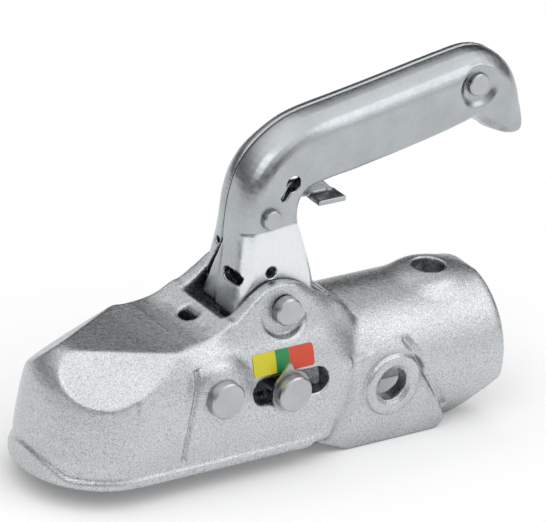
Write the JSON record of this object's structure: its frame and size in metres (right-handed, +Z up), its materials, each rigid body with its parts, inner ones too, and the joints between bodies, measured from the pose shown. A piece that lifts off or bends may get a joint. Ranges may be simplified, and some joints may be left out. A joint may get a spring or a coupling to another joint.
{
  "type": "trailer coupling head",
  "caption": "Cast trailer coupling head for a towing ball, with lifting handle, safety catch, sliding ball clamp and wear gauge pin.",
  "frame": {"origin": "centre of the towing ball when it is locked in the socket", "axes": "+X along the drawbar away from the ball, +Y towards the side without the gauge sticker, +Z up out of the deck"},
  "size_m": [0.2419, 0.0808, 0.1659],
  "materials": {
    "cast": "satin",
    "pressed": "satin",
    "pin": "polished",
    "dark": "satin",
    "sticker": "gloss"
  },
  "bodies": {
    "housing": {"housing": "cast", "pivot_pin": "pin", "pivot_ring": "dark", "guide_pin": "pin", "guide_ring": "dark", "spring_plate": "dark", "spring_guide": "dark", "gauge_label": "sticker", "main_spring": "dark"},
    "handle": {"handle_near_shell": "pressed", "handle_far_shell": "pressed", "drive_cam": "dark", "near_spacer": "dark", "far_spacer": "dark", "catch_pin": "pin", "catch_spring": "dark", "end_rivet": "pin", "end_spacer": "dark"},
    "catch": {"safety_catch": "pressed"},
    "clamp": {"ball_clamp": "cast", "gauge_pin": "pin", "gauge_pointer": "pressed", "gauge_washer": "dark", "gauge_ring": "dark"}
  },
  "joints": [
    {"name": "handle_lift", "type": "hinge", "parent": "housing", "child": "handle", "pos_m": [0.0761, 0, 0.0518], "axis": [0, -1, 0], "range_deg": [0, 42]},
    {"name": "catch_squeeze", "type": "hinge", "parent": "handle", "child": "catch", "pos_m": [0.0716, 0, 0.0904], "axis": [0, -1, 0], "range_deg": [0, 7], "stiffness_Nm_per_rad": 0.8, "springref_deg": -5.73},
    {"name": "clamp_slide", "type": "slide", "parent": "housing", "child": "clamp", "axis": [1, 0, 0], "range_m": [0, 0.0155], "deforming": ["main_spring"]}
  ],
  "couplings": [
    {"joint": "clamp_slide", "follows": "handle_lift", "m_per_rad": 0.02114}
  ]
}
